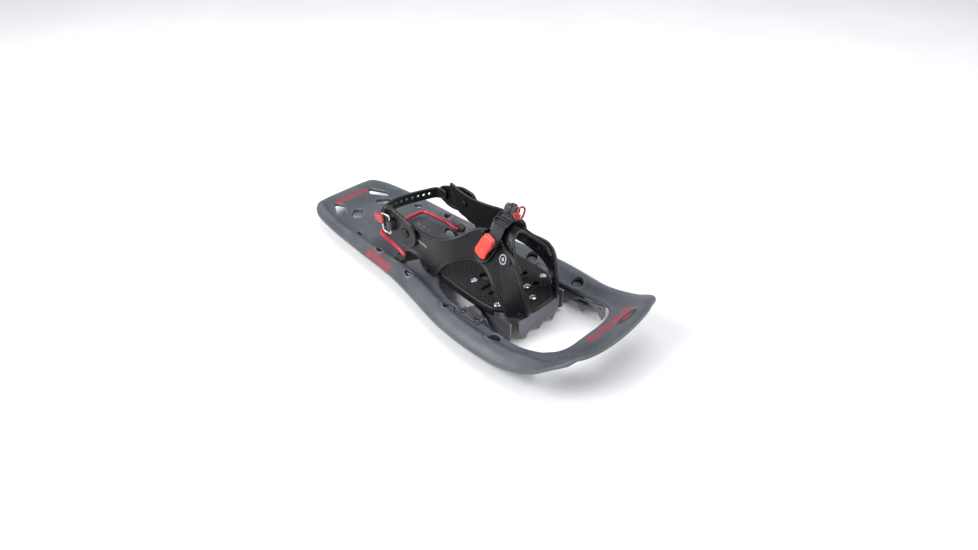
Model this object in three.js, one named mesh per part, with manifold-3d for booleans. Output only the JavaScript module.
// Snowshoe, right foot: moulded flexing deck with open toe, steel traction
// rails, a pivoting toe binding with crampon, a fold-up heel-lift bail, a heel
// strap loop with a hinged buckle and a cam lever on the instep webbing.
//
// Frame: millimetres, +X towards the toe, +Y to the wearer's left, +Z up.
// The lowest rail tooth tips are at z = 0. Every piece is modelled with the
// deck running from TAIL to NOSE; addPiece() shifts it to centre the deck on X.

import * as THREE from 'three';
import { mergeVertices } from 'three/addons/utils/BufferGeometryUtils.js';
import Module from 'manifold-3d';

const wasm = await Module();
wasm.setup();

// --------------------------------------------------------- driving dimensions
const LENGTH = 560;             // deck, nose to tail
const NOSE = 282.5;
const TAIL = NOSE - LENGTH;
const DECK_T = 5;               // deck wall, measured vertically
const EDGE_Z = 25;              // top of the skirt edge
const FLOOR_Z = 27;             // floor inside the crest
const WING_T = 3;               // binding wing wall
const HOOD_T = 3;               // toe hood wall
const PLATE_Z0 = 40.5;          // underside of the footbed
const PLATE_Z1 = 45;            // top of the footbed
const STEEL_T = 2.7;            // crampon sheet
const AXLE_X = 105;
const AXLE_Z = 28;
const AXLE_R = 3;
const BORE = 0.3;               // radial play of every pin in its bore
const STACK_GAP = 0.3;          // play between the footbed, crampon and rivet heads
const ARM_X = -32;              // heel-arm pivot
const ARM_Z = 85;
const ARM_PIN_R = 3;
const ARM_IN = 53.3;            // inner face of a heel arm
const ARM_T = 3.5;
const BAIL_X = -53;             // heel-lift pivot
const BAIL_Z = 31.5;
const WIRE_R = 3;

// ------------------------------------------------------------------ materials
const standard = (settings) => new THREE.MeshStandardMaterial(settings);
const materials = {
  deck: standard({ color: 0x6b6e72, roughness: 0.62 }),
  wing: standard({ color: 0x33343a, roughness: 0.55 }),
  plate: standard({ color: 0x211f24, roughness: 0.6 }),
  steel: standard({ color: 0x5b5965, roughness: 0.42, metalness: 0.9 }),
  bright: standard({ color: 0xc9ccd0, roughness: 0.25, metalness: 1.0 }),
  red: standard({ color: 0xf2493f, roughness: 0.4 }),
  wire: standard({ color: 0xc93346, roughness: 0.38 }),
  web: standard({ color: 0x4a4d54, roughness: 0.85 }),
  rubber: standard({ color: 0x1d1d20, roughness: 0.6 }),
  black: standard({ color: 0x17171a, roughness: 0.5 }),
};

const group = new THREE.Group();
group.name = 'snowshoe';

// Adds a named piece, shifted so that the deck's length is centred on X.
const addPiece = (name, geometry, material) => {
  const mesh = new THREE.Mesh(geometry.clone().translate(-(NOSE + TAIL) / 2, 0, 0), material);
  mesh.name = name;
  group.add(mesh);
};

// -------------------------------------------------------------- solid helpers
const solidFromMesh = (geometry) => new wasm.Manifold(new wasm.Mesh({
  numProp: 3,
  vertProperties: new Float32Array(geometry.attributes.position.array),
  triVerts: new Uint32Array(geometry.index.array),
}));
const solid = (geometry) => {
  const bare = geometry.clone();
  bare.deleteAttribute('normal');
  bare.deleteAttribute('uv');
  return solidFromMesh(mergeVertices(bare, 1e-4));
};
const toGeometry = (manifold) => {
  const mesh = manifold.getMesh();
  const positions = new Float32Array(mesh.vertProperties);
  const geometry = new THREE.BufferGeometry();
  geometry.setAttribute('position', new THREE.BufferAttribute(positions, 3));
  geometry.setIndex(new THREE.BufferAttribute(new Uint32Array(mesh.triVerts), 1));
  return geometry;
};
const join = (manifold, geometry) => manifold.add(solid(geometry));
const cut = (manifold, geometry) => manifold.subtract(solid(geometry));

// Mirror image across the XZ plane, with the triangles turned to face outwards.
const mirrorY = (geometry) => {
  const flipped = geometry.clone().scale(1, -1, 1);
  if (flipped.index) {
    const index = flipped.index.array;
    for (let i = 0; i < index.length; i += 3) {
      [index[i], index[i + 1]] = [index[i + 1], index[i]];
    }
  } else {
    const positions = flipped.attributes.position.array;
    for (let i = 0; i < positions.length; i += 9) {
      const first = positions.slice(i, i + 3);
      positions.copyWithin(i, i + 3, i + 6);
      positions.set(first, i + 3);
    }
    flipped.deleteAttribute('normal');
  }
  return flipped;
};
// Paired pieces are modelled on the left (+Y) and mirrored for the right.
const SIDES = [['right', -1], ['left', 1]];
const onSide = (geometry, sign) => (sign > 0 ? geometry : mirrorY(geometry));

// ------------------------------------------------------- interpolation helpers
const smoothstep = (low, high, value) => {
  const t = Math.min(1, Math.max(0, (value - low) / (high - low)));
  return t * t * (3 - 2 * t);
};
// Catmull-Rom through [x, value] rows, clamped at both ends.
const splineAt = (rows, x) => {
  const last = rows.length - 1;
  if (x <= rows[0][0]) return rows[0][1];
  if (x >= rows[last][0]) return rows[last][1];
  let i = 0;
  while (x > rows[i + 1][0]) i++;
  const slope = (from, to) => (rows[to][1] - rows[from][1]) / (rows[to][0] - rows[from][0]);
  const slope0 = slope(Math.max(0, i - 1), i + 1);
  const slope1 = slope(i, Math.min(last, i + 2));
  const [x0, value0] = rows[i];
  const [x1, value1] = rows[i + 1];
  const span = x1 - x0;
  const t = (x - x0) / span;
  const t2 = t * t;
  const t3 = t2 * t;
  return (2 * t3 - 3 * t2 + 1) * value0 + (t3 - 2 * t2 + t) * span * slope0 +
    (3 * t2 - 2 * t3) * value1 + (t3 - t2) * span * slope1;
};
// Straight lines through [x, value] rows, clamped at both ends.
const linearAt = (rows, x) => {
  if (x <= rows[0][0]) return rows[0][1];
  for (let i = 1; i < rows.length; i++) {
    if (x <= rows[i][0]) {
      const t = (x - rows[i - 1][0]) / (rows[i][0] - rows[i - 1][0]);
      return rows[i - 1][1] + t * (rows[i][1] - rows[i - 1][1]);
    }
  }
  return rows[rows.length - 1][1];
};
// linearAt with its kinks softened over 5 mm each way.
const softAt = (rows, x) =>
  (linearAt(rows, x - 5) + 2 * linearAt(rows, x) + linearAt(rows, x + 5)) / 4;
// Item of a list at a fraction, 0 to 1, of its length.
const pick = (list, fraction) => list[Math.round(fraction * (list.length - 1))];

// -------------------------------------------------------------- shape helpers
// Closed shape from [x, y] points, every corner rounded by up to the radius.
const outline = (points, radius = 0) => {
  const corners = points.map(([x, y]) => new THREE.Vector2(x, y));
  const shape = new THREE.Shape();
  if (radius === 0) {
    shape.setFromPoints(corners);
  } else {
    corners.forEach((corner, i) => {
      const towards = (other) => {
        const distance = corner.distanceTo(other);
        return corner.clone().lerp(other, Math.min(radius, distance * 0.45) / distance);
      };
      const start = towards(corners.at(i - 1));
      const end = towards(corners[(i + 1) % corners.length]);
      if (i === 0) shape.moveTo(start.x, start.y);
      else shape.lineTo(start.x, start.y);
      shape.quadraticCurveTo(corner.x, corner.y, end.x, end.y);
    });
  }
  shape.closePath();
  return shape;
};
// Half outline of [x, y] points followed by its mirror image in y.
const mirrored = (half) => [...half, ...half.slice().reverse().filter(([, y]) => y !== 0)
  .map(([x, y]) => [x, -y])];
// Points on an arc; angles in degrees.
const arcPoints = (centreX, centreY, radius, firstAngle, step, count) =>
  Array.from({ length: count }, (_, i) => {
    const angle = (firstAngle + i * step) * Math.PI / 180;
    return [centreX + radius * Math.cos(angle), centreY + radius * Math.sin(angle)];
  });
// Regular polygon standing in for a round wire section.
const wireSection = (radius, sides) => outline(Array.from({ length: sides }, (_, i) => {
  const angle = (i + 0.5) * 2 * Math.PI / sides;
  return [radius * Math.cos(angle), radius * Math.sin(angle)];
}));

// ----------------------------------------------------------- geometry helpers
const extrude = (shape, depth, curveSegments = 5) =>
  new THREE.ExtrudeGeometry(shape, { depth, bevelEnabled: false, curveSegments });
// Prism of an XY outline between z0 and z1.
const prismZ = (shape, z0, z1, curveSegments) =>
  extrude(shape, z1 - z0, curveSegments).translate(0, 0, z0);
// Prism of an XZ outline between y0 and y1.
const prismY = (shape, y0, y1, curveSegments) =>
  extrude(shape, y1 - y0, curveSegments).rotateX(Math.PI / 2).translate(0, y1, 0);
// Prism of a YZ outline between x0 and x1.
const prismX = (shape, x0, x1) => {
  const turn = new THREE.Matrix4().makeBasis(
    new THREE.Vector3(0, 1, 0), new THREE.Vector3(0, 0, 1), new THREE.Vector3(1, 0, 0));
  return extrude(shape, x1 - x0).applyMatrix4(turn).translate(x0, 0, 0);
};
const box = (x0, x1, y0, y1, z0, z1) =>
  new THREE.BoxGeometry(x1 - x0, y1 - y0, z1 - z0)
    .translate((x0 + x1) / 2, (y0 + y1) / 2, (z0 + z1) / 2);
const turnFromY = (direction) =>
  new THREE.Quaternion().setFromUnitVectors(new THREE.Vector3(0, 1, 0), direction);
// Cylinder between two points.
const rod = (radius, from, to, segments) => {
  const start = new THREE.Vector3(...from);
  const end = new THREE.Vector3(...to);
  const reach = end.clone().sub(start);
  const geometry = new THREE.CylinderGeometry(radius, radius, reach.length(), segments);
  geometry.applyQuaternion(turnFromY(reach.normalize()));
  return geometry.translate(...start.add(end).multiplyScalar(0.5));
};
const rodY = (radius, x, z, y0, y1, segments) => rod(radius, [x, y0, z], [x, y1, z], segments);
const rodZ = (radius, x, y, z0, z1, segments) => rod(radius, [x, y, z0], [x, y, z1], segments);
// Turned solid: [radius, height] profile from axis to axis, its axis along a direction.
const turned = (profile, at, direction, segments) => {
  const points = profile.map(([radius, height]) => new THREE.Vector2(radius, height));
  return new THREE.LatheGeometry(points, segments)
    .applyQuaternion(turnFromY(new THREE.Vector3(...direction).normalize()))
    .translate(...at);
};
const curveThrough = (points) => new THREE.CatmullRomCurve3(
  points.map((point) => new THREE.Vector3(...point)), false, 'centripetal');
const sweep = (section, extrudePath, steps) =>
  new THREE.ExtrudeGeometry(section, { steps, extrudePath, bevelEnabled: false });
// Closed skin between two grids of points, top(along, across) and
// bottom(along, across), both fractions from 0 to 1. The cell diagonals change
// direction at mid-width.
const skin = (alongCount, acrossCount, top, bottom) => {
  const positions = [];
  const index = [];
  for (const pointAt of [top, bottom]) {
    for (let i = 0; i <= alongCount; i++) {
      for (let j = 0; j <= acrossCount; j++) {
        positions.push(...pointAt(i / alongCount, j / acrossCount));
      }
    }
  }
  const below = (alongCount + 1) * (acrossCount + 1);   // from a top vertex to the one under it
  const vertex = (i, j) => i * (acrossCount + 1) + j;
  for (let i = 0; i < alongCount; i++) {
    for (let j = 0; j < acrossCount; j++) {
      const near = vertex(i, j);
      const far = vertex(i + 1, j);
      const farNext = vertex(i + 1, j + 1);
      const nearNext = vertex(i, j + 1);
      if (j < acrossCount / 2) {
        index.push(near, far, farNext, near, farNext, nearNext);
        index.push(below + near, below + farNext, below + far);
        index.push(below + near, below + nearNext, below + farNext);
      } else {
        index.push(near, far, nearNext, far, farNext, nearNext);
        index.push(below + near, below + nearNext, below + far);
        index.push(below + far, below + nearNext, below + farNext);
      }
    }
  }
  const rim = [];
  for (let i = 0; i < alongCount; i++) rim.push(vertex(i, 0));
  for (let j = 0; j < acrossCount; j++) rim.push(vertex(alongCount, j));
  for (let i = alongCount; i > 0; i--) rim.push(vertex(i, acrossCount));
  for (let j = acrossCount; j > 0; j--) rim.push(vertex(0, j));
  rim.forEach((start, i) => {
    const end = rim[(i + 1) % rim.length];
    index.push(start, below + start, end, end, below + start, below + end);
  });
  const geometry = new THREE.BufferGeometry();
  geometry.setAttribute('position', new THREE.BufferAttribute(new Float32Array(positions), 3));
  geometry.setIndex(index);
  return geometry;
};
// Flat band along a line; stationAt(fraction) gives its { point, across, normal }.
const ribbon = (segments, stationAt, halfWidth, halfThickness) => {
  const stations = Array.from({ length: segments + 1 }, (_, i) => stationAt(i / segments));
  const face = (offset) => (along, crosswise) => {
    const { point, across, normal } = pick(stations, along);
    return point.clone().addScaledVector(across, (crosswise - 0.5) * 2 * halfWidth)
      .addScaledVector(normal, offset);
  };
  return solidFromMesh(skin(segments, 2, face(halfThickness), face(-halfThickness)));
};
const UP = [0, 0, 1];
const LEFTWARD = [0, 1, 0];

// ----------------------------------------------------------------------- deck
// [x, half-width]
const DECK_WIDTHS = [
  [-280, 45], [-275, 52.5], [-266, 60], [-245, 67.5], [-205, 73.5], [-160, 77],
  [-120, 79], [-73, 81], [-30, 84.5], [20, 93], [72, 102.5], [113, 106],
  [154, 105.5], [194, 102.8], [210, 101.2], [226, 99.5], [240, 97.2], [249, 95.2],
  [258, 92.4], [266, 89.8], [273, 87.3], [278, 85], [282.5, 80.5],
];
// [x, upsweep of the nose]
const NOSE_RISE = [
  [160, 0], [178, 0.6], [194, 3], [210, 8], [226, 14.5], [240, 21], [249, 26],
  [258, 32], [268, 38.5], [276, 43], [282.5, 46],
];
// Grid lines of the deck skin: x, and fractions of the half-width.
const DECK_STATIONS = [
  TAIL, -275, -269, -259, -244, -224, -200, -172, -142, -112, -82, -54, -26,
  2, 30, 58, 86, 116, 144, 166, 184, 198, 211, 223, 234, 244, 253, 261, 268, 274, 278.8, NOSE,
];
const DECK_HALF_LEVELS = [0, 0.3, 0.52, 0.63, 0.7, 0.77, 0.84, 0.92, 1];
const DECK_LEVELS = [
  ...DECK_HALF_LEVELS.slice(1).map((level) => -level).reverse(),
  ...DECK_HALF_LEVELS,
];
// Left half of the toe opening, [x, y].
const TOE_OPENING = [
  [16, 0], [17, 30], [21, 46], [34, 56], [53, 61], [73, 64], [122, 64], [149, 65.5],
  [185, 65], [206, 63.5], [220, 60], [229, 52], [233.5, 41], [234.5, 26], [233, 9],
];
// Left-hand openings, [x, y].
const TAIL_HOLES = [
  [[-252, 33], [-235.5, 24], [-207, 41], [-221.5, 48]],
  [[-214, 21], [-201, 12], [-183, 29], [-198, 39]],
];
const WINDOW = [[-72, 47], [-62, 32], [-39, 29], [-37, 34], [-46, 48], [-56, 50]];
const SLOTS = [[-15, 71, 8], [-90, 63.5, 6], [-151, 55, 18]];   // [x, y, degrees]
const SLOT_RADII = [7, 3.4];
const BOLTS = [[74, 76], [156, 76]];          // deck-to-rail bolts, [x, y]
const BOLT_R = 3;
const BOLT_HEAD_Z = 27.4;
const BRACKET_RIVET_XS = [92, 118];
const BRACKET_RIVET_Y = 69;
const BRACKET_RIVET_R = 2;
const CUT_TOP = 60;                           // cutters run from z = 0 to here
const CLIP_HALF_LENGTH = 7;                   // bail clip, along X
const CLIP_Y0 = 51.6;
const CLIP_Y1 = 60;

// Floor between the crests, dished towards the middle of the nose.
const floorZ = (x, y) => FLOOR_Z + 2 * smoothstep(125, 190, x) * (1 - smoothstep(205, 240, x)) -
  2 * smoothstep(200, 240, x) - 8 * smoothstep(188, 232, x) * Math.max(0, 1 - (y / 56) ** 2);

// Top face of the deck at x and a signed fraction of the half-width.
const deckZ = (x, level) => {
  const halfWidth = splineAt(DECK_WIDTHS, x);
  const y = level * halfWidth;
  // Distance from the edge, blending side and tail distances round the corner.
  const fromSide = (1 - Math.abs(level)) * halfWidth;
  const fromTail = x - TAIL;
  const power = 4;
  const fromEdge = Math.pow(
    Math.pow(fromSide + 0.01, -power) + Math.pow(fromTail + 0.01, -power), -1 / power);
  // The crest grows from tail to middle and flattens at the nose.
  const growth = smoothstep(-200, 20, x);
  const nose = smoothstep(195, 262, x);
  const crestRun = (11 + 7 * growth) * (1 - 0.25 * nose);
  const crestHeight = (6 + 5 * growth) * (1 - 0.62 * nose);
  let z;
  if (fromEdge < crestRun) {
    z = EDGE_Z + crestHeight * (1 - (1 - fromEdge / crestRun) ** 2);
  } else {
    const fall = smoothstep(0, 1, (fromEdge - crestRun) / (0.85 * crestRun));
    z = floorZ(x, y) + (EDGE_Z + crestHeight - floorZ(x, y)) * (1 - fall);
  }
  // Low dome behind the heel.
  const dome = 5 * smoothstep(-225, -150, x) * (1 - smoothstep(-60, 0, x)) *
    Math.max(0, 1 - (y / 46) ** 2);
  return z + dome + splineAt(NOSE_RISE, x);
};
// Point of the deck skin; the nose and tail ends bow in plan.
const deckPoint = (along, across, drop) => {
  const x = pick(DECK_STATIONS, along);
  const level = pick(DECK_LEVELS, across);
  const nose = smoothstep(215, 280, x);
  const tail = 1 - smoothstep(TAIL, -240, x);
  return [
    x - nose * (3 * level * level + 4 * level ** 8) + 4 * tail * level ** 4,
    level * splineAt(DECK_WIDTHS, x),
    deckZ(x, level) - drop,
  ];
};
const slotCutter = ([x, y, degrees]) => {
  const ellipse = new THREE.Shape();
  ellipse.absellipse(0, 0, ...SLOT_RADII, 0, Math.PI * 2, false, 0);
  return prismZ(ellipse, 0, CUT_TOP, 5)
    .rotateZ(THREE.MathUtils.degToRad(degrees)).translate(x, y, 0);
};
const makeDeck = () => {
  let deck = solid(skin(DECK_STATIONS.length - 1, DECK_LEVELS.length - 1,
    (along, across) => deckPoint(along, across, 0),
    (along, across) => deckPoint(along, across, DECK_T)));
  deck = cut(deck, prismZ(outline(mirrored(TOE_OPENING), 5), 0, 80, 2));
  // Pocket for the bail clip.
  const pocketHalf = CLIP_HALF_LENGTH + 1;
  const pocket = box(BAIL_X - pocketHalf, BAIL_X + pocketHalf, 44, 60.7, FLOOR_Z, CUT_TOP);
  for (const [, sign] of SIDES) {
    for (const hole of TAIL_HOLES) {
      deck = cut(deck, onSide(prismZ(outline(hole, 5), 0, CUT_TOP, 2), sign));
    }
    deck = cut(deck, onSide(prismZ(outline(WINDOW, 4), 0, CUT_TOP, 2), sign));
    for (const slot of SLOTS) deck = cut(deck, onSide(slotCutter(slot), sign));
    for (const [x, y] of BOLTS) {
      deck = cut(deck, rodZ(8, x, sign * y, BOLT_HEAD_Z - 2, CUT_TOP, 12));
      deck = cut(deck, rodZ(BOLT_R + BORE, x, sign * y, 0, CUT_TOP, 8));
    }
    for (const x of BRACKET_RIVET_XS) {
      deck = cut(deck, rodZ(BRACKET_RIVET_R + BORE, x, sign * BRACKET_RIVET_Y, 0, CUT_TOP, 6));
    }
    deck = cut(deck, onSide(pocket, sign));
  }
  return toGeometry(deck);
};
addPiece('deck', makeDeck(), materials.deck);

// ------------------------------------------------------------- traction rails
const RAIL_Y = 62.6;
const RAIL_T = 2.4;
const RAIL_TOP = 21.6;
const TOOTH_PITCH = 34.1;
// Side view of the rail, [x, z]: tail end, even teeth, front claws, upswept
// nose, then back along the top edge past a small lug.
const railProfile = () => {
  const points = [[-150, 16], [-150, 9]];
  for (let x = -139; x <= 100; x += TOOTH_PITCH) {
    points.push([x - 6, 5], [x, 0.3], [x + 6, 5], [x + 12, 9], [x + 22, 9]);
  }
  points.push(
    [122, 8.5], [133, 8], [140, 4.5], [147, 0], [153, 5], [158, 11.5], [170, 12.5],
    [174, 7], [179, 3], [185, 10.5], [192, 12], [204, 17], [207, 11], [211, 7], [214, 14],
    [214, 31.6], [201, 28.4], [188, 25.3], [176, 23.5], [164, 22.2], [150, RAIL_TOP],
    [-86.5, RAIL_TOP], [-87, 26], [-93, 26], [-93.5, RAIL_TOP], [-146, RAIL_TOP]);
  return points;
};
// Plan of the top flange, widened round the bolts, [x, y].
const FLANGE = [
  [-146, 64], [-146, 70], [51, 72], [63, 84], [85, 84], [97, 72], [134, 72],
  [145, 84], [167, 84], [176, 72], [176, 64],
];
const RAIL_SLOT = [[172, 17.5], [186, 20], [186, 22.6], [172, 20.1]];   // [x, z]
const makeRail = () => {
  let rail = solid(prismY(outline(railProfile()), RAIL_Y, RAIL_Y + RAIL_T));
  rail = join(rail, prismZ(outline(FLANGE, 4), RAIL_TOP - RAIL_T, RAIL_TOP, 2));
  for (const [x, y] of BOLTS) rail = cut(rail, rodZ(BOLT_R + BORE, x, y, 10, 40, 8));
  rail = cut(rail, prismY(outline(RAIL_SLOT, 1), 55, 64.9, 2));
  rail = cut(rail, rodY(1.9, 207, 25, 50, 80, 8));
  return toGeometry(rail);
};
// Nut under the flange, shank, and a domed head in the deck; [radius, z].
const BOLT_PROFILE = [
  [0, 15], [4.4, 15], [4.6, 17.5], [4.6, 18.9], [BOLT_R, 18.9], [BOLT_R, BOLT_HEAD_Z - 1.7],
  [6.4, BOLT_HEAD_Z - 1.7], [6.8, BOLT_HEAD_Z + 0.3], [5.2, BOLT_HEAD_Z + 1],
  [0, BOLT_HEAD_Z + 1],
];
for (const [name, sign] of SIDES) {
  addPiece(`${name}_traction_rail`, onSide(makeRail(), sign), materials.steel);
  BOLTS.forEach(([x, y], i) => {
    const isBlack = i === 1 && sign < 0;
    addPiece(`${name}_deck_bolt_${i + 1}`, turned(BOLT_PROFILE, [x, sign * y, 0], UP, 12),
      isBlack ? materials.black : materials.deck);
  });
}

// ------------------------------------------------------ axle and its brackets
const AXLE_HALF_LENGTH = 61.4;
// Side view of the bracket's upright ear, [x, z].
const EAR = [
  [86, 12], [124, 12], [124, 24], [115, 35], [110, 37], [100, 37], [95, 35], [86, 24],
];
const makeBracket = () => {
  let bracket = solid(prismY(outline(EAR, 3), 57, 62.2, 3));
  bracket = join(bracket, box(87, 123, 60, 73, 27.8, 30.8));
  bracket = cut(bracket, rodY(AXLE_R + BORE, AXLE_X, AXLE_Z, 40, 61.8, 16));
  for (const x of BRACKET_RIVET_XS) {
    bracket = cut(bracket, rodZ(BRACKET_RIVET_R + BORE, x, BRACKET_RIVET_Y, 0, 60, 6));
  }
  return toGeometry(bracket);
};
const BRACKET_RIVET_PROFILE = [
  [0, 22.3], [BRACKET_RIVET_R, 22.3], [BRACKET_RIVET_R, 31.1], [3.6, 31.1], [3, 32.6], [0, 33],
];
addPiece('pivot_axle',
  rodY(AXLE_R, AXLE_X, AXLE_Z, -AXLE_HALF_LENGTH, AXLE_HALF_LENGTH, 16), materials.steel);
for (const [name, sign] of SIDES) {
  addPiece(`${name}_axle_bracket`, onSide(makeBracket(), sign), materials.steel);
  BRACKET_RIVET_XS.forEach((x, i) => {
    addPiece(`${name}_bracket_rivet_${i + 1}`,
      turned(BRACKET_RIVET_PROFILE, [x, sign * BRACKET_RIVET_Y, 0], UP, 8), materials.bright);
  });
}

// ------------------------------------------------------------ heel-lift bail
// Half side view of the clip, [distance from the pivot in x, z].
const CLIP_HALF = [[CLIP_HALF_LENGTH, 27.3], [CLIP_HALF_LENGTH, 33], [3, 36.6]];
const makeClip = () => {
  const [base, shoulder, top] = CLIP_HALF;
  const behind = ([x, z]) => [BAIL_X - x, z];
  const ahead = ([x, z]) => [BAIL_X + x, z];
  const points = [behind(base), ahead(base), ahead(shoulder), ahead(top), behind(top),
    behind(shoulder)];
  const clip = solid(prismY(outline(points, 1.5), CLIP_Y0, CLIP_Y1, 2));
  return toGeometry(cut(clip, rodY(WIRE_R + BORE + 0.15, BAIL_X, BAIL_Z, 40, 59, 12)));
};
for (const [name, sign] of SIDES) {
  addPiece(`${name}_bail_clip`, onSide(makeClip(), sign), materials.black);
}
// Left half of the wire's centre line, from the pivot end back, [x, y, z].
const BAIL_HALF = [
  [BAIL_X, 58.6, BAIL_Z], [BAIL_X, 51.5, BAIL_Z], [-55.5, 47.6, 32.6], [-64, 46.4, 36.2],
  [-73, 45.8, 38], [-84, 45, 38], [-98, 43.6, 38], [-110, 42.2, 38], [-117, 39.4, 38],
  [-120, 33, 38], [-120.4, 22, 38], [-120.4, 10, 38],
];
const bailLine = curveThrough(
  [...BAIL_HALF, ...BAIL_HALF.slice().reverse().map(([x, y, z]) => [x, -y, z])]);
addPiece('heel_lift_bail', sweep(wireSection(WIRE_R, 8), bailLine, 36), materials.wire);

// --------------------------------------------------------------- wing surface
// [x, half-width at the footbed]
const WING_BASE = [
  [-60, 50.4], [-20, 50.4], [10, 52], [30, 53], [40, 52.6], [51, 51.5], [62, 48.5],
  [76, 46], [89, 51], [100, 55.5], [112, 57], [120, 57], [130, 53], [139, 47], [147, 40],
  [156, 32], [163, 27], [172, 22],
];
// [x, inward lean per mm of height]
const WING_LEAN = [
  [-60, 0], [20, 0], [38, 0.03], [51, 0.07], [62, 0.13], [76, 0.23], [89, 0.36],
  [100, 0.45], [112, 0.48], [122, 0.47], [134, 0.36], [146, 0.17], [156, 0.02], [165, -0.03],
];
// [x, crown height]
const CROWN = [
  [-60, 300], [0, 240], [30, 185], [50, 158], [64, 147], [76, 143.5], [100, 144],
  [110, 142], [123, 136], [140, 130], [150, 125.5], [160, 122], [175, 119],
];
const CROWN_BEND = 18;          // height over which the wing curls in to the crown
const wingHalf = (x, z) => {
  const bend = (z - softAt(CROWN, x) + CROWN_BEND) / CROWN_BEND;
  const curl = Math.min(0.9999, Math.max(0, bend));
  return (softAt(WING_BASE, x) - softAt(WING_LEAN, x) * Math.max(0, z - 45)) *
    Math.sqrt(1 - curl * curl);
};
// Outward normal of the left wing.
const wingNormal = (x, z) => {
  const step = 0.1;
  const slopeX = (wingHalf(x + step, z) - wingHalf(x - step, z)) / (2 * step);
  const slopeZ = (wingHalf(x, z + step) - wingHalf(x, z - step)) / (2 * step);
  return new THREE.Vector3(-slopeX, 1, -slopeZ).normalize();
};
// Point of the left wing's mid surface, moved outwards by an offset.
const wingPoint = (x, z, offset = 0) =>
  new THREE.Vector3(x, wingHalf(x, z), z).addScaledVector(wingNormal(x, z), offset);
const FLIP_Y = new THREE.Vector3(1, -1, 1);
// Hole cutter square to the wing, between two offsets from its mid surface.
const wingHole = (radius, [x, z], inner, outer, sign = 1) => {
  const ends = [inner, outer].map((offset) => wingPoint(x, z, offset));
  if (sign < 0) ends.forEach((end) => end.multiply(FLIP_Y));
  return rod(radius, ...ends, 8);
};
const WING_RIVETS = [[4, 42.6], [157, 42.6]];   // [x, z]
const WING_RIVET_R = 1.4;
const HOOD_RIVET = [136, 108];                  // [x, z]
const HOOD_RIVET_R = 2;

// -------------------------------------------------------------------- footbed
// [x, half-width] behind x = 124; further forward the bed follows the wings.
const BED_WIDTHS = [
  [-10, 44], [-4, 47.2], [8, 49], [22, 50], [38, 51], [55, 52.5], [72, 53.5], [90, 54],
  [112, 53.8], [124, 52.2],
];
const BED_STATIONS = [8, 22, 38, 55, 72, 90, 106, 118, 126, 133, 140, 148, 156];
const BED_WALL_STATIONS = [30, 45, 60, 75, 90, 105, 118, 128];
const BED_RIBS = [[58, 34], [84, 40], [98, 40], [112, 34], [138, 26]];   // [x, half-width]
// Left-hand cut-outs, [x, y].
const BED_SLOTS = [
  [[66, 7], [80, 7], [80, 17], [66, 17]],
  [[88, 10], [94, 10], [94, 34], [88, 34]],
  [[102, 10], [108, 10], [108, 34], [102, 34]],
  [[134, 20], [134, 28], [128, 28], [128, 20]],
];
// Rivets that hold the crampon under the footbed, [x, y].
const BED_RIVETS = [
  [70, 28], [70, -28], [127, 41.5], [127, -41.5], [127, 11], [127, -11], [148, 0],
];
const BED_RIVET_R = 2.2;
const bedHalf = (x) => (x < 124 ? splineAt(BED_WIDTHS, x)
  : wingHalf(x, 43) - (WING_T / 2 + 0.8) / wingNormal(x, 43).y);
const bedOutline = () => mirrored([
  [-10, 0], [-10, 38], [-4, 46],
  ...BED_STATIONS.map((x) => [x, bedHalf(x) - 0.3]),
  [163, bedHalf(163) - 1], [167, 16],
]);
const makeFootbed = () => {
  let bed = solid(prismZ(outline(bedOutline(), 4), PLATE_Z0, PLATE_Z1, 2));
  const wall = [
    ...BED_WALL_STATIONS.map((x) => [x, bedHalf(x) - 0.3]),
    ...BED_WALL_STATIONS.slice().reverse().map((x) => [x, Math.max(49.8, bedHalf(x) - 3.2)]),
  ];
  for (const [, sign] of SIDES) {
    bed = join(bed, onSide(prismZ(outline(wall), 34.5, PLATE_Z1 - 1), sign));
  }
  for (const [x, half] of BED_RIBS) {
    bed = join(bed, box(x - 1.5, x + 1.5, -half, half, PLATE_Z1 - 1, PLATE_Z1 + 1.6));
  }
  for (const [, sign] of SIDES) {
    const lugY = sign * 46.8;
    bed = join(bed, box(-3, 13, lugY - 2.6, lugY + 2.6, PLATE_Z1 - 1, PLATE_Z1 + 2));
  }
  for (const [, sign] of SIDES) {
    for (const slot of BED_SLOTS) {
      bed = cut(bed, onSide(prismZ(outline(slot, 2), 30, 60, 1), sign));
    }
  }
  for (const [x, y] of BED_RIVETS) bed = cut(bed, rodZ(BED_RIVET_R + BORE, x, y, 0, 60, 8));
  for (const [, sign] of SIDES) {
    for (const spot of WING_RIVETS) {
      bed = cut(bed, wingHole(WING_RIVET_R + BORE, spot, -9.5, 3, sign));
    }
  }
  return toGeometry(bed);
};
addPiece('footbed', makeFootbed(), materials.plate);

// ---------------------------------------------------------------- toe crampon
const CRAMPON_TOP = PLATE_Z0 - STACK_GAP;
const CHEEK_IN = 46.6;
const CHEEK_OUT = CHEEK_IN + STEEL_T;
const FRONT_X = 160;            // front face of the front teeth
// Left half of the flat top, [x, y].
const CRAMPON_PLAN = [
  [56, 40], [92, 43], [92, CHEEK_OUT], [133, CHEEK_OUT], [134, 43], [142, 36], [150, 28],
  [157, 21], [FRONT_X, 19],
];
// Side view of a cheek, [x, z].
const CHEEK = [
  [92, CRAMPON_TOP], [92, 27], [97, 20.5], [105, 18.5], [113, 20], [121, 10], [130, 3],
  [136, 12], [142, 12.5], [150, 2], [156, 7], [157, 34.6], [137, 34.6], [133, CRAMPON_TOP],
];
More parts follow.
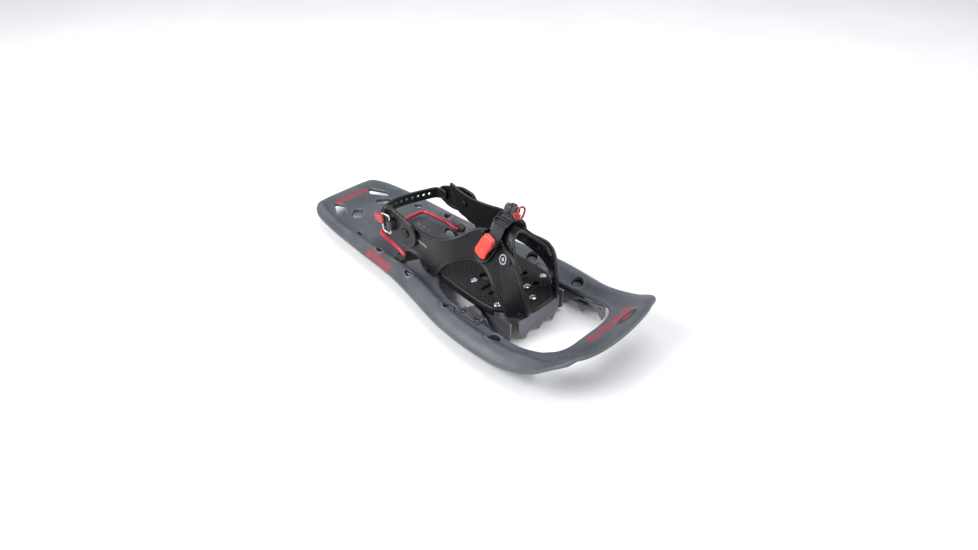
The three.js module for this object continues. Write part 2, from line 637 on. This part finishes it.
// Front view of the front teeth, [y, z].
const FRONT_TEETH = [
  [-19, CRAMPON_TOP], [-20, 34.6], [-37, 34.6], [-37, 20], [-34.5, 14], [-30.5, 8.5],
  [-25, 0.4], [-19, 9], [-12.5, 14], [-6.5, 9], [0, 0.4], [6.5, 9], [12.5, 14], [19, 9],
  [25, 0.4], [30.5, 8.5], [34.5, 14], [37, 20], [37, 34.6], [20, 34.6], [19, CRAMPON_TOP],
];
const makeCrampon = () => {
  let crampon = solid(
    prismZ(outline(mirrored(CRAMPON_PLAN)), CRAMPON_TOP - STEEL_T, CRAMPON_TOP));
  for (const [, sign] of SIDES) {
    let cheek = solid(prismY(outline(CHEEK, 0.8), CHEEK_IN, CHEEK_OUT, 1));
    cheek = cut(cheek, rodY(AXLE_R + BORE, AXLE_X, AXLE_Z, 40, 60, 16));
    crampon = join(crampon, onSide(toGeometry(cheek), sign));
  }
  crampon = join(crampon, prismX(outline(FRONT_TEETH), FRONT_X - STEEL_T, FRONT_X));
  for (const [x, y] of BED_RIVETS) {
    crampon = cut(crampon, rodZ(BED_RIVET_R + BORE, x, y, 30, 60, 8));
  }
  return toGeometry(crampon);
};
addPiece('toe_crampon', makeCrampon(), materials.steel);

const makeBedRivet = ([x, y]) => {
  const top = PLATE_Z1 + STACK_GAP;
  const bottom = CRAMPON_TOP - STEEL_T - STACK_GAP;
  const profile = [
    [0, bottom - 1.6], [3.4, bottom - 1.2], [3.6, bottom], [BED_RIVET_R, bottom],
    [BED_RIVET_R, top], [5, top], [4.2, top + 1.6], [0, top + 2.3],
  ];
  return turned(profile, [x, y, 0], UP, 10);
};
BED_RIVETS.forEach((spot, i) => {
  addPiece(`footbed_rivet_${i + 1}`, makeBedRivet(spot), materials.bright);
});
const makePivotBush = () => {
  const bush = solid(rodY(6, AXLE_X, AXLE_Z, 49.6, 56.7, 14));
  return toGeometry(cut(bush, rodY(AXLE_R + BORE, AXLE_X, AXLE_Z, 40, 60, 14)));
};
for (const [name, sign] of SIDES) {
  addPiece(`${name}_pivot_bush`, onSide(makePivotBush(), sign), materials.black);
}

// ------------------------------------------------------ cam frame on the wing
// Local frame on the right wing: x along the strap, y across it, z off the surface.
const CAM_X = 99.5;
const CAM_Z = 114.5;
const CAM_RIVET_X = -20;        // in the cam frame
const CAM_RIVET_R = 1.3;
const camNormal = wingNormal(CAM_X, CAM_Z).multiply(FLIP_Y).normalize();
const camAlong = new THREE.Vector3(11, 13.5, 25);
camAlong.addScaledVector(camNormal, -camAlong.dot(camNormal)).normalize();
const camAcross = new THREE.Vector3().crossVectors(camNormal, camAlong);
const camFrame = new THREE.Matrix4().makeBasis(camAlong, camAcross, camNormal)
  .setPosition(wingPoint(CAM_X, CAM_Z).multiply(FLIP_Y).addScaledVector(camNormal, WING_T / 2));
const camPoint = (x, y, z) => new THREE.Vector3(x, y, z).applyMatrix4(camFrame);

// -------------------------------------------------------------- binding wings
// Side view, [x, z].
const WING = [
  [-42, 102], [-63, 108], [-63, 98], [-57, 82], [-51, 68], [-42, 62], [-30, 61],
  [-27, 57.5], [-11, 57], [-13, 48], [-7, 39], [4, 35.5], [18, 35.5], [25, 42], [36, 58],
  [46, 70], [60, 80], [72, 84.5], [84, 86], [97, 85.5], [107, 82], [118, 74], [129, 63.5],
  [137, 53], [142, 43], [142.5, 35.5], [164, 35.5], [168, 45], [164.5, 66], [157, 95],
  [151, 108], [144, 115.5], [134, 117.8], [122, 119], [114, 123.5], [104, 129], [91, 131],
  [78, 130.5], [70, 126.5], [62, 118.5], [51, 112], [38, 107], [22, 102.5], [8, 100.5],
  [-8, 99.5], [-25, 100],
];
// Curved sheet the wing is trimmed from, with its grid counts.
const WING_SHEET = { x0: -68, x1: 180, z0: 28, z1: 136, alongCount: 20, upCount: 8 };
const makeWingSheet = () => {
  const { x0, x1, z0, z1, alongCount, upCount } = WING_SHEET;
  const face = (offset) => (along, up) =>
    wingPoint(x0 + (x1 - x0) * along, z0 + (z1 - z0) * up, offset);
  // With X along and Z across, the outer (+Y) face is the skin's bottom.
  return skin(alongCount, upCount, face(-WING_T / 2), face(WING_T / 2));
};
const makeWing = (sign) => {
  let wing = solid(makeWingSheet());
  wing = wing.intersect(solid(prismY(outline(WING, 6), 0, 90, 2)));
  wing = cut(wing, rodY(ARM_PIN_R + BORE, ARM_X, ARM_Z, 30, 80, 14));
  for (const spot of WING_RIVETS) {
    wing = cut(wing, wingHole(WING_RIVET_R + BORE, spot, -8, 8));
  }
  wing = cut(wing, wingHole(HOOD_RIVET_R + BORE, HOOD_RIVET, -12, 8));
  if (sign < 0) {
    // The cam rivet's hole, flipped because the wing is still on the left.
    const ends = [-12, 12].map((z) => camPoint(CAM_RIVET_X, 0, z).multiply(FLIP_Y));
    wing = cut(wing, rod(CAM_RIVET_R + BORE, ...ends, 8));
  }
  return onSide(toGeometry(wing), sign);
};
// Rivet profiles, [radius, offset outwards].
const WING_RIVET_PROFILE = [
  [0, -7.6], [WING_RIVET_R, -7.6], [WING_RIVET_R, 2.4], [4, 2.4], [3.2, 3.7], [0, 4],
];
const HOOD_RIVET_PROFILE = [
  [0, -10], [HOOD_RIVET_R, -10], [HOOD_RIVET_R, 1.8], [4.4, 1.8], [3.6, 3.2], [0, 3.6],
];
const wingRivet = (profile, [x, z]) => turned(profile, wingPoint(x, z), wingNormal(x, z), 10);
// Heel-arm pivot: a domed button outside, a washer head inside; [radius, y].
const ARM_BUTTON_Y = ARM_IN + ARM_T + BORE;
const ARM_RIVET_PROFILE = [
  [0, 46], [4.4, 46.2], [5, 48.2], [ARM_PIN_R, 48.2], [ARM_PIN_R, ARM_BUTTON_Y],
  [7, ARM_BUTTON_Y], [6.4, ARM_BUTTON_Y + 1.5], [3.6, ARM_BUTTON_Y + 2.3],
  [0, ARM_BUTTON_Y + 2.5],
];
for (const [name, sign] of SIDES) {
  WING_RIVETS.forEach((spot, i) => {
    addPiece(`${name}_wing_rivet_${i + 1}`,
      onSide(wingRivet(WING_RIVET_PROFILE, spot), sign), materials.black);
  });
  addPiece(`${name}_hood_rivet`,
    onSide(wingRivet(HOOD_RIVET_PROFILE, HOOD_RIVET), sign), materials.black);
  addPiece(`${name}_wing`, makeWing(sign), materials.wing);
  addPiece(`${name}_arm_rivet`,
    onSide(turned(ARM_RIVET_PROFILE, [ARM_X, 0, ARM_Z], LEFTWARD, 14), sign), materials.black);
}

// ------------------------------------------------------------------- toe hood
// The hood lies inside the wings; spread runs from 0 at the crown to 1 at its foot.
const HOOD_DROP = WING_T / 2 + HOOD_T / 2 + 1.4;
const HOOD_FOOT_Z = 99;
// [spread, x of the front lip]
const HOOD_LIP = [[0, 125], [0.35, 127], [0.5, 132], [0.62, 140], [0.75, 147.5], [1, 155]];
// Point of the undropped hood surface on the left side.
const hoodSurface = (x, spread) => {
  const crownZ = softAt(CROWN, x);
  const z = crownZ - (crownZ - HOOD_FOOT_Z) * Math.pow(spread, 1.8);
  return new THREE.Vector3(x, spread < 1e-6 ? 0 : wingHalf(x, z), z);
};
const hoodPoint = (along, across, offset) => {
  const spread = Math.abs(2 * across - 1);
  const sign = across < 0.5 ? -1 : 1;
  const atCrown = spread < 1e-6;
  const rearX = 88 + 8 * spread * spread;
  const x = rearX + (linearAt(HOOD_LIP, spread) - rearX) * along;
  const step = 0.02;
  const downSlope = hoodSurface(x, Math.min(1, spread + step))
    .sub(hoodSurface(x, Math.max(0, spread - step)));
  const forward = hoodSurface(x + 1, spread).sub(hoodSurface(x - 1, spread));
  const normal = new THREE.Vector3().crossVectors(downSlope, forward).normalize();
  if (normal.z < 0) normal.negate();
  if (atCrown) normal.setY(0).normalize();
  const point = hoodSurface(x, spread).addScaledVector(normal, offset - HOOD_DROP);
  return [point.x, sign * (atCrown ? 0 : Math.max(0, point.y)), point.z];
};
const makeHood = () => {
  const face = (offset) => (along, across) => hoodPoint(along, across, offset);
  let hood = solid(skin(5, 14, face(HOOD_T / 2), face(-HOOD_T / 2)));
  for (const [, sign] of SIDES) {
    hood = cut(hood, onSide(wingHole(HOOD_RIVET_R + BORE, HOOD_RIVET, -12, 8), sign));
  }
  return toGeometry(hood);
};
addPiece('toe_hood', makeHood(), materials.wing);

// ------------------------------------------------------------------ heel arms
// Side views, [x, z]: both arms share the round end about the pivot.
const ARM_ROUND = arcPoints(ARM_X, ARM_Z, 21.5, 62, -14, 13);
const RIGHT_ARM = [
  ...ARM_ROUND, [-50, 63.5], [-62, 61.5], [-74, 62], [-78, 68], [-78, 88], [-77.5, 104],
  [-73, 110.5], [-60, 112], [-45, 109.5],
];
const LEFT_ARM = [
  ...ARM_ROUND, [-50, 62], [-64, 59.5], [-78, 61], [-88, 66.5], [-93, 74], [-93.5, 82],
  [-89, 88.5], [-74, 94.5], [-56, 100.5], [-42, 105],
];
// Upright rod of the buckle frame; its y is mirrored to the right side.
const ROD_X = -58;
const ROD_Y = 61.8;
const ROD_Z = 88;
const ROD_R = 1.5;
// Plan of the right arm's barrel lug for the rod, before mirroring, [x, y].
const BARREL_LUG = [
  [ROD_X - 4, ARM_IN + 1], [ROD_X + 6, ARM_IN + 1], [ROD_X + 4, ROD_Y + 2],
  [ROD_X + 1.5, ROD_Y + 3.4], [ROD_X - 3, ROD_Y + 3.4], [ROD_X - 4, ROD_Y + 2],
];
const STRAP_RIVET_X = -79.5;
const STRAP_RIVET_ZS = [73, 83];
const STRAP_RIVET_R = 1.6;
const makeArm = (sign) => {
  let arm = solid(prismY(outline(sign < 0 ? RIGHT_ARM : LEFT_ARM), ARM_IN, ARM_IN + ARM_T));
  if (sign < 0) {
    arm = join(arm, prismZ(outline(BARREL_LUG), ROD_Z - 7, ROD_Z + 7));
    arm = cut(arm, rodZ(ROD_R + BORE, ROD_X, ROD_Y, 50, 110, 12));
  } else {
    for (const z of STRAP_RIVET_ZS) {
      arm = cut(arm, rodY(STRAP_RIVET_R + BORE, STRAP_RIVET_X, z, 40, 70, 10));
    }
  }
  arm = cut(arm, rodY(ARM_PIN_R + BORE, ARM_X, ARM_Z, 40, 80, 20));
  return onSide(toGeometry(arm), sign);
};
for (const [name, sign] of SIDES) addPiece(`${name}_heel_arm`, makeArm(sign), materials.wing);

// ----------------------------------------------------------------- heel strap
const STRAP_HEIGHT = 17;
const STRAP_HALF_T = 1.4;
// Centre line from the left arm round the heel to the right side.
const strapLine = curveThrough([
  [-74.5, 51.3, 78], [-80, 51.3, 78.2], [-86, 50.9, 78.6], [-91, 48, 79.2],
  [-93.8, 42.5, 79.8], [-95.2, 36, 80.4], [-96.6, 28.5, 81.2], [-98.8, 18.5, 82],
  [-100.9, 7.5, 82.8], [-102.5, -3, 83.5], [-103, -13, 84.1], [-102, -23, 84.8],
  [-98.8, -34, 85.5], [-94, -44, 86.3], [-88.5, -52, 87], [-82.5, -57.3, 87.5],
  [-76, -59.3, 87.9], [-65, -59.4, 88],
]);
const STRAP_LENGTH = strapLine.getLength();
const PEG_FRACTION = 1 - 8 / STRAP_LENGTH;      // the buckle peg is 8 mm from the end
const ADJUSTING_HOLES = 13;
const ADJUSTING_PITCH = 9.2;
const strapStation = (fraction) => {
  const tangent = strapLine.getTangentAt(fraction);
  return {
    point: strapLine.getPointAt(fraction),
    across: new THREE.Vector3(0, 0, -1),
    normal: new THREE.Vector3(-tangent.y, tangent.x, 0).normalize(),
  };
};
const makeHeelStrap = () => {
  let strap = ribbon(30, strapStation, STRAP_HEIGHT / 2, STRAP_HALF_T);
  // Row of adjusting holes from the peg round the heel; the peg's is larger.
  for (let i = 0; i < ADJUSTING_HOLES; i++) {
    const { point, normal } = strapStation(PEG_FRACTION - i * ADJUSTING_PITCH / STRAP_LENGTH);
    const ends = [-6, 6].map((offset) => point.clone().addScaledVector(normal, offset));
    strap = cut(strap, rod(i ? 2.1 : 2.5, ...ends, 8));
  }
  for (const z of STRAP_RIVET_ZS) {
    strap = cut(strap, rodY(STRAP_RIVET_R + BORE, STRAP_RIVET_X, z, 40, 60, 10));
  }
  return toGeometry(strap);
};
addPiece('heel_strap', makeHeelStrap(), materials.rubber);
const STRAP_RIVET_PROFILE = [
  [0, 48.4], [3.4, 48.6], [3.8, 49.6], [STRAP_RIVET_R, 49.6], [STRAP_RIVET_R, 57.1],
  [3.8, 57.1], [3.4, 58.3], [0, 58.7],
];
STRAP_RIVET_ZS.forEach((z, i) => {
  addPiece(`strap_rivet_${i + 1}`,
    turned(STRAP_RIVET_PROFILE, [STRAP_RIVET_X, 0, z], LEFTWARD, 10), materials.black);
});

// ---------------------------------------------------------------- heel buckle
const peg = strapLine.getPointAt(PEG_FRACTION);
const makeBuckleFrame = () => {
  const y = -ROD_Y;
  const bar = (x0, x1, z0, z1) => box(x0, x1, y - 2.6, y + 0.4, z0, z1);
  let frame = solid(rodZ(ROD_R, ROD_X, y, ROD_Z - 15, ROD_Z + 15, 12));
  for (const z of [ROD_Z - 13.4, ROD_Z + 13.4]) {
    frame = join(frame, bar(peg.x - 1.7, ROD_X + 1.4, z - 1.6, z + 1.6));
  }
  frame = join(frame, bar(peg.x - 1.7, peg.x + 1.7, ROD_Z - 15, ROD_Z + 15));
  // Peg that drops into a hole of the strap.
  frame = join(frame, rodY(1.4, peg.x, peg.z, y, -58.2, 8));
  return toGeometry(frame);
};
// Pull tab behind the frame's rear bar, [x from the peg, z].
const TAB = [[-2.1, 86], [-9, 82], [-15, 84], [-16, 96], [-10, 101], [-2.1, 98]];
const TAB_HOLE = [[-5, 88], [-11.5, 87], [-12, 95], [-6, 96]];
const makePullTab = () => {
  const fromPeg = (points) => points.map(([x, z]) => [peg.x + x, z]);
  const tab = solid(prismY(outline(fromPeg(TAB), 3), ROD_Y - 0.4, ROD_Y + 2.6, 2));
  return mirrorY(toGeometry(cut(tab, prismY(outline(fromPeg(TAB_HOLE), 2), 50, 80, 2))));
};
addPiece('heel_buckle_frame', makeBuckleFrame(), materials.bright);
addPiece('heel_pull_tab', makePullTab(), materials.red);

// ---------------------------------------------------- cam lever on right wing
// Everything here is in the cam frame.
const PIN_X = 10.5;
const PIN_Z = 10.9;
const PIN_R = 1.5;
const pinHole = () => rodY(PIN_R + BORE, PIN_X, PIN_Z, -20, 20, 12);
const CAM_PLATE = [
  [17, -12.6], [17, 12.6], [-18, 12.6], [-25, 7.5], [-27.5, 0], [-25, -7.5], [-18, -12.6],
];                                                                        // [x, y]
const CAM_CHEEK = [[2, 3], [17, 3], [16, 12], [12, 14.9], [8, 14.2], [5, 9]];   // [x, z]
const makeCamBase = () => {
  let base = solid(prismZ(outline(CAM_PLATE, 3), 1.9, 3.9, 2));
  for (const [y0, y1] of [[10.4, 12.6], [-12.6, -10.4]]) {
    base = join(base, prismY(outline(CAM_CHEEK, 1), y0, y1, 3));
  }
  base = cut(base, pinHole());
  base = cut(base, rodZ(CAM_RIVET_R + BORE, CAM_RIVET_X, 0, -10, 10, 8));
  return toGeometry(base);
};
// Side view: round cam about the pin, then the handle, [x, z].
const LEVER_SIDE = [
  ...arcPoints(PIN_X, PIN_Z, 4.4, -60, 17, 11), [2, 15], [-8, 13.3], [-17.4, 10.1],
  [-17, 7.7], [-8, 8.9], [2, 8.2], [PIN_X - 1.5, 6.65],
];
// Rounded plan, narrower at the pin end, [x, y].
const LEVER_PLAN = [
  [16, -7.5], [16, 7.5], [6, 10], [-6, 9], [-14, 10], [-18, 6.5], [-18, -6.5], [-14, -10],
  [-6, -9], [6, -10],
];
const makeCamLever = () => {
  let lever = solid(prismY(outline(LEVER_SIDE), -10, 10));
  lever = lever.intersect(solid(prismZ(outline(LEVER_PLAN, 4), 0, 20, 3)));
  return toGeometry(cut(lever, pinHole()));
};
// Joins the base to the wing.
const CAM_RIVET_PROFILE = [
  [0, -5.5], [2.8, -5.3], [3.2, -4.4], [CAM_RIVET_R, -4.4], [CAM_RIVET_R, 4.2],
  [2.8, 4.2], [2.4, 5.3], [0, 5.6],
];
const addCamPiece = (name, geometry, material) =>
  addPiece(name, geometry.applyMatrix4(camFrame), material);
addCamPiece('cam_base', makeCamBase(), materials.black);
addCamPiece('cam_pin', rodY(PIN_R, PIN_X, PIN_Z, -13.4, 13.4, 12), materials.bright);
addCamPiece('cam_lever', makeCamLever(), materials.red);
addCamPiece('cam_base_rivet',
  turned(CAM_RIVET_PROFILE, [CAM_RIVET_X, 0, 0], UP, 10), materials.bright);

// ------------------------------------------------- instep webbing and hardware
const REARWARD = new THREE.Vector3(-1, 0, 0);
// From the cam over the instep to the left wing: [centre point, direction across].
const WEBBING = [
  [camPoint(-4, 0, 5.1), camAcross],
  [camPoint(6, 0, 5.1), camAcross],
  [camPoint(17, 0, 5.2), camAcross],
  [[105.5, -14.5, 140.2], new THREE.Vector3(-1, -0.1, 0)],
  [[106.5, -7, 143.6], REARWARD],
  [[107, 1, 144.4], REARWARD],
  [[106.5, 8, 143.2], REARWARD],
  [[105.5, 14, 139.8], REARWARD],
  [wingPoint(104, 129, 4.6), REARWARD],
  [wingPoint(102, 121, 4.4), REARWARD],
  [wingPoint(99, 112, 4.2), REARWARD],
];
const webbingLine = curveThrough(WEBBING.map(([point]) => point));
const webbingStation = (fraction) => {
  const row = fraction * (WEBBING.length - 1);
  const i = Math.min(WEBBING.length - 2, Math.floor(row));
  const across = WEBBING[i][1].clone().lerp(WEBBING[i + 1][1], row - i).normalize();
  const tangent = webbingLine.getTangent(fraction);
  across.addScaledVector(tangent, -across.dot(tangent)).normalize();
  const normal = new THREE.Vector3().crossVectors(tangent, across).normalize();
  return { point: webbingLine.getPoint(fraction), across, normal };
};
addPiece('instep_webbing', toGeometry(ribbon(28, webbingStation, 8.4, 0.8)), materials.web);

// Ladder lock: two windows and a middle bar, on top of the webbing.
const makeLadderLock = () => {
  let lock = solid(box(-12, 12, -9, 9, 0, 3.6));
  for (const [y0, y1] of [[-6.4, -1.6], [1.6, 6.4]]) {
    lock = cut(lock, box(-9.4, 9.4, y0, y1, -5, 9));
  }
  return toGeometry(lock).rotateX(0.42).translate(107, -8.6, 145.2);
};
addPiece('ladder_lock', makeLadderLock(), materials.black);

// Roll of spare webbing, its axis along X.
const ROLL_PROFILE = [[0, -10.5], [6.6, -10.5], [6.6, 10.5], [0, 10.5]];
addPiece('webbing_roll', turned(ROLL_PROFILE, [107, 5.2, 155.2], [1, 0, 0], 14), materials.web);

// Closed loop of cord at the toe-side end of the roll.
const makePullCord = () => {
  const count = 14;
  const points = Array.from({ length: count }, (_, i) => {
    const angle = (i / count) * Math.PI * 2;
    return new THREE.Vector3(119.8 + 0.6 * Math.sin(2 * angle), 7 + 6 * Math.cos(angle),
      154.5 + 8 * Math.sin(angle));
  });
  return sweep(wireSection(1.4, 6), new THREE.CatmullRomCurve3(points, true), 22);
};
addPiece('pull_cord', makePullCord(), materials.red);

export default group;
